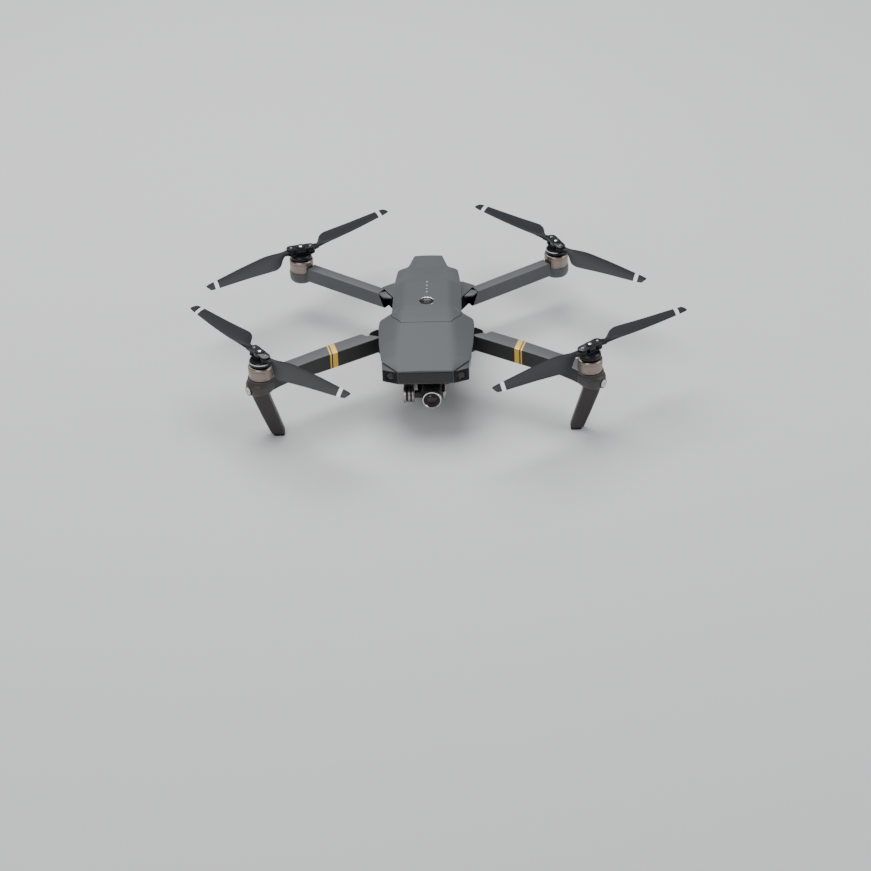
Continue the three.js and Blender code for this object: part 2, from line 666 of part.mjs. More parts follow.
placePair('front_hinge_pin', upright(3, FRONT_PIVOT.x, FRONT_PIVOT.y, EAR.bottom + 0.4, RIM_BOTTOM - 0.4), steel);
placePair('rear_hinge_pin', hingeRod(2.8, -15, 5.4), steel);
placePair('front_arm', frontArm(), armGrey);
placePair('rear_arm', rearArm(), armGrey);
placePair('landing_leg', landingLeg(), darkPlastic);
placePair('landing_foot', footPad(), rubber);
placePair('front_lamp', lampLensPiece(), lampLens);
placePair('rear_foot', block(14.4, 21.6, 69.4, 78.6, GROUND, -15.9), rubber);

MOTORS.forEach(placeMotor);

place('gimbal_plate', gimbalPlate(), darkPlastic);
place('gimbal_yaw_arm', yawArm(), gimbalGrey);
place('gimbal_roll_arm', rollArm(), gimbalGrey);
place('camera_body', cameraBody(), darkPlastic);
place('camera_lens', cameraLens(), lensGlass);

export default group;
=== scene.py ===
import json
import math

import bmesh
import bpy
from mathutils import Matrix, Vector


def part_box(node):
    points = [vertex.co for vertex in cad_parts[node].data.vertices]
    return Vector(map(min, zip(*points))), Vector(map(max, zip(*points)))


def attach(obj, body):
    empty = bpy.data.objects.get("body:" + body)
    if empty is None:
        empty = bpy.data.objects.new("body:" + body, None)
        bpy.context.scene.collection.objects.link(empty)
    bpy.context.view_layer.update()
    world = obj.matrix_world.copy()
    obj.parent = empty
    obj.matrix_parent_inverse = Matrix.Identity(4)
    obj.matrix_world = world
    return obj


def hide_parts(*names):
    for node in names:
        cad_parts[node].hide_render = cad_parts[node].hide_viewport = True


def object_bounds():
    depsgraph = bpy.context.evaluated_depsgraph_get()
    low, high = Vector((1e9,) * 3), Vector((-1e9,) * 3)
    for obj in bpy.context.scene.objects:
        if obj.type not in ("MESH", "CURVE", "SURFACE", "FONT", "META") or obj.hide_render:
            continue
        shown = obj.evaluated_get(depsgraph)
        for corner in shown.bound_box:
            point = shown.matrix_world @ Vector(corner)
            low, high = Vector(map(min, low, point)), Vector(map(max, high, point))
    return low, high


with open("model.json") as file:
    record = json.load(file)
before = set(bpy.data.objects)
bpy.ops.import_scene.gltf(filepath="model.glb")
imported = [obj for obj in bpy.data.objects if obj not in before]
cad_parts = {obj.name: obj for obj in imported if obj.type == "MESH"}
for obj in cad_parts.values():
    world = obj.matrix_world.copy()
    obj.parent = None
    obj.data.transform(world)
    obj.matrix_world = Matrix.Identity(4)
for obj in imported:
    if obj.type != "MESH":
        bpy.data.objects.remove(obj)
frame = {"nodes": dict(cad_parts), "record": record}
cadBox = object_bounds()
mm = 0.001
sides = {"left": -1, "right": 1}


# shader sums and finishes

class Wire:
    # a shader socket that works in sums
    def __init__(self, finish, socket):
        self.finish = finish
        self.socket = socket

    def __add__(self, other):
        return self.finish.maths("ADD", self, other)

    def __radd__(self, other):
        return self.finish.maths("ADD", other, self)

    def __sub__(self, other):
        return self.finish.maths("SUBTRACT", self, other)

    def __rsub__(self, other):
        return self.finish.maths("SUBTRACT", other, self)

    def __mul__(self, other):
        return self.finish.maths("MULTIPLY", self, other)

    def __rmul__(self, other):
        return self.finish.maths("MULTIPLY", other, self)

    def __gt__(self, other):
        return self.finish.maths("GREATER_THAN", self, other)

    def __lt__(self, other):
        return self.finish.maths("LESS_THAN", self, other)


class Finish:
    def __init__(self, name, color, roughness, metallic=0.0, coat=0.0, coatRoughness=0.1):
        self.material = bpy.data.materials.new(name)
        self.material.use_nodes = True
        self.tree = self.material.node_tree
        self.shader = self.tree.nodes["Principled BSDF"]
        self.color = (*color, 1.0)
        self.set("Base Color", self.color)
        self.set("Roughness", roughness)
        self.set("Metallic", metallic)
        self.set("Coat Weight", coat)
        self.set("Coat Roughness", coatRoughness)
        self.place = self.node("ShaderNodeTexCoord", output="Object")

    def feed(self, socket, value):
        if isinstance(value, Wire):
            self.tree.links.new(value.socket, socket)
        else:
            socket.default_value = value

    def set(self, name, value):
        self.feed(self.shader.inputs[name], value)

    def node(self, kind, settings=None, inputs=None, output=0):
        made = self.tree.nodes.new(kind)
        for key, value in (settings or {}).items():
            setattr(made, key, value)
        for key, value in (inputs or {}).items():
            self.feed(made.inputs[key], value)
        return Wire(self, made.outputs[output])

    def maths(self, operation, first, second=0.0):
        return self.node("ShaderNodeMath", {"operation": operation}, {0: first, 1: second})

    def mix(self, amount, first, second):
        return self.node("ShaderNodeMix", {"data_type": "RGBA"}, {0: amount, 6: first, 7: second}, 2)

    def noise(self, scale, detail=2.0, roughness=0.5, stretch=None):
        where = self.place
        if stretch:
            where = self.node("ShaderNodeMapping", None, {"Vector": where, "Scale": stretch})
        inputs = {"Vector": where, "Scale": scale, "Detail": detail, "Roughness": roughness}
        return self.node("ShaderNodeTexNoise", None, inputs)

    def axis(self, name):
        return self.node("ShaderNodeSeparateXYZ", None, {0: self.place}, name)

    def band(self, value, low, high):
        return (value > low) * (value < high)

    def bump(self, height, strength, distance=0.0002):
        inputs = {"Height": height, "Strength": strength, "Distance": distance}
        self.set("Normal", self.node("ShaderNodeBump", None, inputs))

    def shade(self, factor):
        return tuple(part * factor for part in self.color[:3]) + (1.0,)


def mouldedPlastic(name, color, roughness, grain=2600, grainStrength=0.12, spread=0.05, coat=0.0,
                   shine=0.5):
    # moulded plastic: faint blotches, a fine spark-eroded grain and a little handling shine
    finish = Finish(name, color, roughness, coat=coat)
    finish.set("Specular IOR Level", shine)
    blotch = finish.noise(38, 4, 0.6)
    fine = finish.noise(grain, 3, 0.6)
    finish.tint = finish.mix(blotch, finish.shade(1 - spread), finish.shade(1 + spread))
    finish.set("Base Color", finish.tint)
    finish.set("Roughness", roughness - 0.05 + blotch * 0.07 + fine * 0.04)
    finish.bump(fine, grainStrength)
    return finish


def turnedMetal(name, color, roughness, pitch=2600):
    # fine lathe rings around the upright axis
    finish = Finish(name, color, roughness, metallic=1.0)
    rings = finish.noise(pitch, 1, 0.5, stretch=(0.02, 0.02, 1.0))
    smear = finish.noise(90, 3, 0.6)
    finish.set("Base Color", finish.mix(smear, finish.shade(0.86), finish.shade(1.06)))
    finish.set("Roughness", roughness - 0.06 + rings * 0.10 + smear * 0.06)
    finish.bump(rings, 0.25, 0.0001)
    return finish


armBands = {  # gold stripes painted round the front arms, places along the arm from its hinge
    "pivot": (36.0, -38.7), "along": (0.8435, -0.5372), "slant": 0.33,
    "stripes": ((50.0, 54.8), (56.2, 57.6)), "gold": (0.86, 0.55, 0.10, 1.0),
}


def bandedFinish(name, color, roughness):
    # arm plastic with two slanting gold stripes, the same on both sides of the drone
    finish = mouldedPlastic(name, color, roughness)
    alongX, alongY = armBands["along"]
    outward = finish.maths("ABSOLUTE", finish.axis("X")) - armBands["pivot"][0] * mm
    forward = finish.axis("Y") - armBands["pivot"][1] * mm
    distance = outward * alongX + forward * alongY
    offset = outward * -alongY + forward * alongX
    place = (distance + offset * armBands["slant"]) * (1 / mm)
    mask = 0
    for low, high in armBands["stripes"]:
        mask = finish.band(place, low, high) + mask
    finish.set("Base Color", finish.mix(mask, finish.tint, armBands["gold"]))
    finish.set("Metallic", mask * 0.55)
    return finish


shellGrey = mouldedPlastic("shellGrey", (0.082, 0.089, 0.093), 0.52, shine=0.4)
armGrey = mouldedPlastic("armGrey", (0.080, 0.086, 0.088), 0.44)
armTop = bandedFinish("armTop", (0.080, 0.086, 0.088), 0.44)
# the front sides of the front arms: the arm plastic painted darker as painted shade, with the same gold
# stripes
armShadedSide = bandedFinish("armShadedSide", (0.022, 0.020, 0.019), 0.42)
darkPlastic = mouldedPlastic("darkPlastic", (0.016, 0.013, 0.012), 0.40)
# near-black for seams and vent slots, and also laid on as painted shade in the hinge cavities and on the front
# arms' roots
gapAndShadeBlack = mouldedPlastic("gapAndShadeBlack", (0.003, 0.003, 0.003), 0.85, grain=1200, shine=0.1)
mountBrown = mouldedPlastic("mountBrown", (0.048, 0.044, 0.041), 0.42)
ledgeGrey = mouldedPlastic("ledgeGrey", (0.045, 0.049, 0.053), 0.48, shine=0.4)
legBrown = mouldedPlastic("legBrown", (0.030, 0.026, 0.024), 0.40)
bladeBlack = mouldedPlastic("bladeBlack", (0.014, 0.016, 0.018), 0.50, grain=1500,
                            grainStrength=0.08, shine=0.22)
tipWhite = mouldedPlastic("tipWhite", (0.80, 0.80, 0.80), 0.45, grain=1500, spread=0.02)
hubBlack = mouldedPlastic("hubBlack", (0.005, 0.005, 0.006), 0.26, grain=900,
                          grainStrength=0.04, shine=0.4)
windowBlack = mouldedPlastic("windowBlack", (0.004, 0.004, 0.007), 0.16, grain=400,
                             grainStrength=0.02, shine=0.25)
bellMetal = turnedMetal("bellMetal", (0.30, 0.245, 0.22), 0.30)
brightMetal = turnedMetal("brightMetal", (0.80, 0.79, 0.78), 0.18)
gimbalMetal = turnedMetal("gimbalMetal", (0.42, 0.40, 0.39), 0.28)
copperWire = turnedMetal("copperWire", (0.62, 0.24, 0.09), 0.38, pitch=1400)
rubberBlack = mouldedPlastic("rubberBlack", (0.010, 0.010, 0.010), 0.80, grain=1800, grainStrength=0.3)
boardGreen = mouldedPlastic("boardGreen", (0.010, 0.060, 0.030), 0.45)
cellWrap = mouldedPlastic("cellWrap", (0.02, 0.05, 0.16), 0.40)
lampWhite = mouldedPlastic("lampWhite", (0.70, 0.69, 0.66), 0.22, coat=0.6)
ledWhite = mouldedPlastic("ledWhite", (0.55, 0.57, 0.58), 0.35)
lensBlack = mouldedPlastic("lensBlack", (0.016, 0.003, 0.003), 0.05, grain=200,
                           grainStrength=0.01, shine=0.6)

slotFinish = {
    "shell_grey": shellGrey, "arm_grey": armGrey, "dark_plastic": darkPlastic, "gloss_black": hubBlack,
    "blade_plastic": bladeBlack, "bell_metal": bellMetal, "winding_copper": copperWire,
    "steel_pin": brightMetal, "rubber_foot": rubberBlack, "circuit_board": boardGreen,
    "cell_wrap": cellWrap, "lens_glass": lensBlack, "lamp_lens": lampWhite, "gimbal_metal": gimbalMetal,
}
for part in frame["record"]["subparts"]:
    mesh = frame["nodes"][part["node"]].data
    mesh.materials.clear()
    mesh.materials.append(slotFinish[part["material_slot"]].material)
print("finishes made")

# camera, lights and floor

view = {"lens": 143.15, "sensor": 36, "place": (0.083708, -2.659096, 1.588333),
        "turn": (57.7240, 1.7997, 0.5926)}


def makeCamera():
    camera = bpy.data.objects.new("camera", bpy.data.cameras.new("camera"))
    camera.data.lens = view["lens"]
    camera.data.sensor_width = view["sensor"]
    camera.location = view["place"]
    camera.rotation_euler = [math.radians(angle) for angle in view["turn"]]
    bpy.context.scene.collection.objects.link(camera)
    bpy.context.scene.camera = camera


lamps = [  # place, aimed at, size across and power
    {"name": "overhead", "place": (-0.25, 0.55, 1.5), "aim": (0, 0, 0), "size": 1.3, "power": 30},
    {"name": "frontFill", "place": (-0.9, -1.9, 1.2), "aim": (0, 0, 0), "size": 1.2, "power": 12},
    {"name": "rightFill", "place": (1.6, -0.2, 0.9), "aim": (0, 0, 0), "size": 1.0, "power": 8},
]
sky = {"color": (0.9, 0.93, 1.0, 1.0), "strength": 0.35}
floorSettings = {"half": 6.0, "color": (0.74, 0.74, 0.74)}


def makeLamps():
    for lamp in lamps:
        light = bpy.data.lights.new(lamp["name"], "AREA")
        light.size = lamp["size"]
        light.energy = lamp["power"]
        holder = bpy.data.objects.new(lamp["name"], light)
        holder.location = lamp["place"]
        aim = Vector(lamp["aim"]) - Vector(lamp["place"])
        holder.rotation_euler = aim.to_track_quat("-Z", "Y").to_euler()
        bpy.context.scene.collection.objects.link(holder)
    world = bpy.data.worlds.new("studio")
    world.use_nodes = True
    background = world.node_tree.nodes["Background"]
    background.inputs["Color"].default_value = sky["color"]
    background.inputs["Strength"].default_value = sky["strength"]
    bpy.context.scene.world = world


def makeFloor():
    half = floorSettings["half"]
    ground = cadBox[0][2]
    mesh = bpy.data.meshes.new("floor")
    corners = [(-half, -half, ground), (half, -half, ground), (half, half, ground), (-half, half, ground)]
    mesh.from_pydata(corners, [], [(0, 1, 2, 3)])
    floor = bpy.data.objects.new("floor", mesh)
    bpy.context.scene.collection.objects.link(floor)
    finish = Finish("floorPaper", floorSettings["color"], 0.9)
    paper = finish.noise(220, 3, 0.6)
    finish.set("Base Color", finish.mix(paper, finish.shade(0.985), finish.shade(1.0)))
    mesh.materials.append(finish.material)


makeCamera()
makeLamps()
makeFloor()
print("camera, lights and floor made")


# mesh making, in millimetres

def arcCorners(points, reach, steps=4):
    # a closed outline whose corners are turned into short arcs
    result = []
    for i, point in enumerate(points):
        corner = Vector(point)
        before = Vector(points[i - 1]) - corner
        after = Vector(points[(i + 1) % len(points)]) - corner
        wanted = reach[i] if isinstance(reach, (list, tuple)) else reach
        cut = min(wanted, before.length * 0.45, after.length * 0.45)
        start = corner + before.normalized() * cut
        end = corner + after.normalized() * cut
        for step in range(steps + 1):
            t = step / steps
            result.append(start * (1 - t) ** 2 + corner * 2 * t * (1 - t) + end * t ** 2)
    return result


def smoothMesh(mesh, sharpAngle=32):
    bm = bmesh.new()
    bm.from_mesh(mesh)
    bmesh.ops.recalc_face_normals(bm, faces=bm.faces)
    bm.to_mesh(mesh)
    bm.free()
    mesh.shade_smooth()
    mesh.set_sharp_from_angle(angle=math.radians(sharpAngle))


def skin(name, rings):
    # closed skin over rings that all have the same number of points
    corners = len(rings[0])
    points = [Vector(point) * mm for ring in rings for point in ring]
    faces = [tuple(range(corners)), tuple(range(len(points) - corners, len(points)))]
    for ring in range(len(rings) - 1):
        for corner in range(corners):
            a = ring * corners + corner
            b = ring * corners + (corner + 1) % corners
            faces.append((a, b, b + corners, a + corners))
    mesh = bpy.data.meshes.new(name)
    mesh.from_pydata(points, [], faces)
    smoothMesh(mesh)
    return mesh


def turned(name, profile, origin, axis=(0, 0, 1), segments=64):
    # a lathe shape: profile points are radius and height, closed onto the axis at both ends
    turn = Vector((0, 0, 1)).rotation_difference(Vector(axis)).to_matrix()
    bm = bmesh.new()
    rings = []
    for radius, height in profile:
        ring = []
        for i in range(segments if radius > 0 else 1):
            angle = 2 * math.pi * i / segments
            local = Vector((radius * math.cos(angle), radius * math.sin(angle), height))
            ring.append(bm.verts.new((Vector(origin) + turn @ local) * mm))
        rings.append(ring)
    for low, high in zip(rings, rings[1:]):
        for i in range(segments):
            j = (i + 1) % segments
            corners = [low[i % len(low)], low[j % len(low)], high[j % len(high)], high[i % len(high)]]
            unique = list(dict.fromkeys(corners))
            if len(unique) > 2:
                bm.faces.new(unique)
    mesh = bpy.data.meshes.new(name)
    bm.to_mesh(mesh)
    bm.free()
    smoothMesh(mesh)
    return mesh


def plate(name, outline, bottom, top, edge=0.3):
    # an upright slab with softened rims
    flat = [Vector(point) for point in outline]
    centre = sum(flat, Vector((0, 0))) / len(flat)
    size = max((point - centre).length for point in flat)
    rings = []
    for inset, height in ((edge, bottom), (edge * 0.3, bottom + edge * 0.3), (0, bottom + edge),
                          (0, top - edge), (edge * 0.3, top - edge * 0.3), (edge, top)):
        shrink = 1 - inset / size
        ring = [centre + (point - centre) * shrink for point in flat]
        rings.append([Vector((point.x, point.y, height)) for point in ring])
    return skin(name, rings)


def boxAt(name, low, high, edge=0.4):
    (x0, y0, z0), (x1, y1, z1) = low, high
    return plate(name, arcCorners([(x0, y0), (x1, y0), (x1, y1), (x0, y1)], edge * 1.5), z0, z1, edge)


def paint(mesh, choose):
    # choose gives each face the number of its finish in the piece's list
    layer = mesh.attributes.get("material_index") or mesh.attributes.new("material_index", "INT", "FACE")
    layer.data.foreach_set("value", [int(choose(face)) for face in mesh.polygons])


def joined(name, meshes):
    # several closed shells kept as one mesh
    bm = bmesh.new()
    finishes = []
    for mesh in meshes:
        bm.from_mesh(mesh)
        finishes += [face.material_index for face in mesh.polygons]
    whole = bpy.data.meshes.new(name)
    bm.to_mesh(whole)
    bm.free()
    paint(whole, lambda face: finishes[face.index])
    whole.shade_smooth()
    whole.set_sharp_from_angle(angle=math.radians(32))
    return whole


def softened(node, width, sharpAngle=28, segments=3):
    # a node's own shape with rounded edges
    bm = bmesh.new()
    bm.from_mesh(frame["nodes"][node].data)
    bmesh.ops.remove_doubles(bm, verts=bm.verts, dist=0.02 * mm)
    bmesh.ops.dissolve_limit(bm, angle_limit=math.radians(1.5), verts=bm.verts, edges=bm.edges)
    sharp = [edge for edge in bm.edges
             if edge.is_manifold and edge.calc_face_angle(0) > math.radians(sharpAngle)]
    bmesh.ops.bevel(bm, geom=sharp, offset=width * mm, segments=segments, profile=0.5,
                    affect="EDGES", clamp_overlap=True)
    mesh = bpy.data.meshes.new(node)
    bm.to_mesh(mesh)
    bm.free()
    mesh.shade_smooth()
    mesh.set_sharp_from_angle(angle=math.radians(35))
    return mesh


def mirrored(mesh):
    copy = mesh.copy()
    copy.transform(Matrix.Scale(-1, 4, (1, 0, 0)))
    copy.flip_normals()
    return copy


def addPiece(name, mesh, finish, body, replaced=()):
    for each in finish if isinstance(finish, (list, tuple)) else [finish]:
        mesh.materials.append(each.material)
    piece = bpy.data.objects.new(name, mesh)
    bpy.context.scene.collection.objects.link(piece)
    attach(piece, body)
    if replaced:
        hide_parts(*replaced)


def addPair(name, rightMesh, finish, body, replaced=""):
    # the right-hand piece and its mirror image; {} in a body or node name is the side
    for side in sides:
        mesh = rightMesh.copy() if side == "right" else mirrored(rightMesh)
        nodes = [replaced.format(side)] if replaced else []
        addPiece(f"{name}_{side}", mesh, finish, body.format(side), nodes)


def cutBy(mesh, tool, operation):
    # mesh with the tool's shape taken away, or kept alone
    target = bpy.data.objects.new("cutTarget", mesh)
    cutter = bpy.data.objects.new("cutTool", tool)
    for each in (target, cutter):
        bpy.context.scene.collection.objects.link(each)
    modifier = target.modifiers.new("cut", "BOOLEAN")
    modifier.operation = operation
    modifier.solver = "EXACT"
    modifier.object = cutter
    shapes = bpy.context.evaluated_depsgraph_get()
    result = bpy.data.meshes.new_from_object(target.evaluated_get(shapes))
    for each in (target, cutter):
        bpy.data.objects.remove(each)
    result.shade_smooth()
    result.set_sharp_from_angle(angle=math.radians(32))
    return result


# hood and battery

hood = {
    # along the body: y, edge half width, edge height, crown half width, crown height
    "stations": [
        (-108.4, 23.9, 43.0, 22.8, 43.6), (-89.2, 38.5, 42.8, 24.5, 46.2), (-61.5, 41.3, 43.0, 24.0, 49.8),
        (-33.0, 42.3, 43.2, 23.0, 53.0), (-21.0, 41.5, 43.4, 22.5, 53.6), (-12.0, 31.0, 45.0, 22.0, 53.9),
        (36.0, 30.0, 44.6, 21.0, 51.5), (52.0, 29.0, 43.0, 20.0, 47.4), (71.5, 27.0, 41.8, 14.0, 42.9),
        (77.0, 18.0, 41.7, 12.0, 42.6), (87.0, 15.5, 41.5, 11.0, 42.0), (98.5, 12.8, 41.0, 10.0, 41.3),
    ],
    "rim": 42.1, "tailRim": 40.2, "seam": 0.42, "cornerSoftness": 2.6,
    "batteryFront": -39.6, "batteryCorner": 21.7, "batterySide": 30.4, "batterySideFront": -24.0,
}


def bodyStations():
    # the plan's corners are rounded and the long stretches divided
    softness = hood["cornerSoftness"]
    rows = [Vector(row[:3]).to_tuple() + tuple(row[3:]) for row in hood["stations"]]
    dense = [rows[0]]
    for before, here, after in zip(rows, rows[1:], rows[2:]):
        for t in (0, 0.25, 0.5, 0.75, 1):
            reachBack = min(softness, (here[0] - before[0]) * 0.4)
            reachOn = min(softness, (after[0] - here[0]) * 0.4)
            start = [h + (b - h) * reachBack / (here[0] - before[0]) for h, b in zip(here, before)]
            end = [h + (a - h) * reachOn / (after[0] - here[0]) for h, a in zip(here, after)]
            dense.append([s * (1 - t) ** 2 + h * 2 * t * (1 - t) + e * t ** 2
                          for s, h, e in zip(start, here, end)])
    dense.append(rows[-1])
    return dense


def crownRing(y, edge, edgeZ, crown, crownZ, rim):
    arch = 0.35  # the crown is very slightly arched
    corners = [(-edge, rim), (edge, rim), (edge, edgeZ), (crown, crownZ), (0, crownZ + arch),
               (-crown, crownZ), (-edge, edgeZ)]
    outline = arcCorners(corners, [0.3, 0.3, 1.0, 4.5, 12, 4.5, 1.0], 5)
    return [Vector((point.x, y, point.y)) for point in outline]


def crownedBody():
    rings = []
    for y, edge, edgeZ, crown, crownZ in bodyStations():
        rim = min(hood["rim"], edgeZ - 0.9)
        rings.append(crownRing(y, edge, edgeZ, crown, crownZ, rim))
    first = rings[0]
    lip = [Vector((point.x * 0.985, first[0].y - 0.35, 42.9 + (point.z - 42.9) * 0.6)) for point in first]
    return skin("crownedBody", [lip] + rings)


def seamPlan(clearance):
    x, sideX, sideY = hood["batteryCorner"], hood["batterySide"], hood["batterySideFront"]
    right = [(x - clearance, hood["batteryFront"] + clearance), (sideX - clearance, sideY + clearance),
             (sideX - clearance, -12.2 + clearance), (sideX + 6, -11.9 + clearance), (sideX + 6, 120)]
    return right + [(-px, py) for px, py in reversed(right)]


def prism(name, outline, bottom, top):
    return skin(name, [[Vector((*point, height)) for point in outline] for height in (bottom, top)])


def makeHood():
    top = crownedBody()
    shell = cutBy(top.copy(), prism("seamCut", seamPlan(-hood["seam"]), 0, 90), "DIFFERENCE")
    addPiece("hood", shell, shellGrey, "airframe", ["upper_shell"])
    lid = cutBy(top, prism("lidPlan", seamPlan(0), 0, 90), "INTERSECT")
    low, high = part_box("battery_case")
    box = boxAt("batteryBox", (-21.5, -36, low.z / mm), (21.5, 62, 44), 0.8)
    well = turned("buttonWell", [(0, 47.0), (6.6, 47.0), (6.6, 60), (0, 60)], (0, -6.2, 0))
    lid = cutBy(lid, well, "DIFFERENCE")
    addPiece("batteryLid", joined("batteryLid", [lid, box]), shellGrey, "battery",
             ["battery_case"])


makeHood()
print("hood and battery made")


# button and charge lights

buttonSettings = {
    "place": (0, -6.2), "profile": [(0, 48.0), (6.2, 48.0), (6.2, 53.2), (5.9, 53.6), (5.1, 53.7),
                                    (4.7, 53.5), (2.6, 53.2), (0, 53.1)],
    "ring": [(6.35, 53.4), (6.95, 53.4), (7.0, 53.95), (6.75, 54.2), (6.45, 54.1), (6.35, 53.4)],
    "mark": [(1.5, 53.05), (2.0, 53.05), (2.0, 53.28), (1.5, 53.28), (1.5, 53.05)],
    "lights": (12.2, 18.4, 24.7, 31.9), "lightRadius": 0.85,
}


def crownHeight(y):
    # height of the battery's crown at a place along the body
    rows = hood["stations"]
    for before, after in zip(rows, rows[1:]):
        if before[0] <= y <= after[0]:
            return before[4] + (after[4] - before[4]) * (y - before[0]) / (after[0] - before[0]) + 0.2


def ringMesh(name, profile, origin, axis=(0, 0, 1)):
    # a turned ring whose profile closes on itself
    turn = Vector((0, 0, 1)).rotation_difference(Vector(axis)).to_matrix()
    count = 64
    points = []
    for i in range(count):
        angle = 2 * math.pi * i / count
        for radius, height in profile[:-1]:
            local = Vector((radius * math.cos(angle), radius * math.sin(angle), height))
            points.append((Vector(origin) + turn @ local) * mm)
    across = len(profile) - 1
    faces = [((i * across + k), (i * across + (k + 1) % across),
              ((i + 1) % count * across + (k + 1) % across), ((i + 1) % count * across + k))
             for i in range(count) for k in range(across)]
    mesh = bpy.data.meshes.new(name)
    mesh.from_pydata(points, [], faces)
    smoothMesh(mesh)
    return mesh


def makeButton():
    x, y = buttonSettings["place"]
    button = turned("powerButtonCap", buttonSettings["profile"], (x, y, 0))
    addPiece("powerButtonCap", button, hubBlack, "power_button", ["power_button"])
    mark = ringMesh("powerMark", buttonSettings["mark"], (x, y, 0))
    addPiece("powerMark", mark, shellGrey, "power_button")
    ring = ringMesh("buttonRing", buttonSettings["ring"], (x, y, 0))
    addPiece("buttonRing", ring, brightMetal, "battery")
    for i, lightY in enumerate(buttonSettings["lights"]):
        z = crownHeight(lightY)
        radius = buttonSettings["lightRadius"]
        profile = [(0, -1), (radius, -1), (radius, 0.02), (radius * 0.8, 0.12), (0, 0.16)]
        dot = turned("chargeLight", profile, (0, lightY, z), segments=24)
        addPiece(f"chargeLight_{i + 1}", dot, ledWhite, "battery")


makeButton()
print("button and charge lights made")


# front arms, with their motor mounts, lamps and legs

frontArm = {
    "pivot": Vector((36.0, -38.7)), "motor": Vector((141.9, -106.15)), "top": 41.6,
    "rounding": [2.2, 2.2, 1.6, 1.4],  # of the corners: lower front, lower back, upper back, upper front
    # along the arm from the hinge: distance, front face, back face, underside
    "sections": [
        (2.0, -4.2, 5.2, 26.2), (15.6, -4.4, 5.2, 26.2), (16.4, -4.4, 5.6, 26.2),
        (18.4, -4.4, 10.6, 26.2), (19.4, -4.4, 11.2, 26.2), (50.0, -4.6, 11.2, 26.2),
        (72.0, -4.6, 10.2, 26.3), (86.0, -5.2, 9.4, 28.5),
        (100.0, -6.0, 9.1, 28.4), (112.0, -7.6, 9.0, 28.2), (125.0, -10.6, 9.0, 28.0),
    ],
    "mount": [(0, 27.2), (8.6, 27.2), (9.8, 27.7), (11.0, 29.0), (11.6, 30.6), (11.8, 32.0), (11.8, 39.6),
              (11.6, 40.3), (11.0, 40.7), (0, 40.7)],
    # the swelling that holds the lamp: height, how far it leans outwards, radius
    "outward": (0.80, -0.60),
    "bulge": [(26.0, 3.6, 8.0), (26.4, 3.4, 9.0), (27.6, 3.1, 10.2), (29.4, 2.8, 11.0), (31.6, 2.5, 11.6),
              (34.5, 2.2, 11.9), (36.2, 1.4, 11.9), (37.4, 0.6, 11.7), (38.0, 0.2, 11.2)],
    "barrel": [(0, 26.3), (7.2, 26.3), (7.9, 27), (7.9, 40.8), (7.2, 41.5), (0, 41.5)],
    # a black plate on the arm's root, painted shade where the root lies in the hood's shadow: its outline,
    # then its low and high
    "rootShadePlate": [(0.5, -2.4), (8.2, -2.2), (13.8, 5.0), (10.4, 8.0), (3.2, 8.8), (0.5, 6.2)],
    "rootShadePlateHeights": (33, 41.85),
}


def armPoint(distance, offset):
    along = (frontArm["motor"] - frontArm["pivot"]).normalized()
    across = Vector((-along.y, along.x))
    return frontArm["pivot"] + along * distance + across * offset


def makeFrontArms():
    motor, top = frontArm["motor"], frontArm["top"]
    rings = []
    for distance, front, back, low in frontArm["sections"]:
        corners = [(front, low), (back, low), (back, top), (front, top)]
        outline = arcCorners(corners, frontArm["rounding"], 5)
        rings.append([Vector((*armPoint(distance, point.x), point.y)) for point in outline])
    beam = skin("beam", rings)
    along = (motor - frontArm["pivot"]).normalized()
    across = Vector((-along.y, along.x, 0))
    # finishes: 0 on top, 1 on the front side, which is painted darker as painted shade, 2 on the rest, 3 on
    # the round parts
    paint(beam, lambda face: 1 if face.normal.dot(across) < -0.7 else 0 if face.normal.z > 0.6 else 2)
    mount = turned("mount", frontArm["mount"], (*motor, 0))
    outX, outY = frontArm["outward"]
    bulge = skin("bulge", [
        [Vector((motor.x + outX * shift + radius * math.cos(math.pi * i / 32),
                 motor.y + outY * shift + radius * math.sin(math.pi * i / 32), height))
         for i in range(64)] for height, shift, radius in frontArm["bulge"]])
    barrel = turned("barrel", frontArm["barrel"], (*frontArm["pivot"], 0))
    for mesh in (mount, bulge, barrel):
        paint(mesh, lambda face: 3)
    addPair("frontArm", joined("frontArm", [beam, mount, bulge, barrel]),
            [armTop, armShadedSide, armGrey, mountBrown], "front_arm_{}", "front_arm_{}")
    # the black plate on the root is painted shade
    outline = arcCorners([armPoint(*point) for point in frontArm["rootShadePlate"]], 0.8)
    addPair("armShadePlate", plate("armShadePlate", outline, *frontArm["rootShadePlateHeights"], 0.4), gapAndShadeBlack,
            "front_arm_{}")
    makeMountTrim()


lampTrim = {
    "height": 31.0, "reach": 12.4,  # of the lens's back, from the motor's axis
    "lens": [(0, 0), (3.7, 0), (3.7, 1.6), (3.2, 2.2), (1.8, 2.5), (0, 2.6)],
    "bezel": [(3.75, 0.4), (4.3, 0.4), (4.3, 1.8), (4.0, 2.1), (3.75, 1.9), (3.75, 0.4)],
    "core": [(0, 2.4), (0.9, 2.4), (0.8, 2.75), (0, 2.85)],
    "seam": [(11.2, 38.7), (11.9, 38.7), (11.9, 38.95), (11.2, 38.95), (11.2, 38.7)],
}


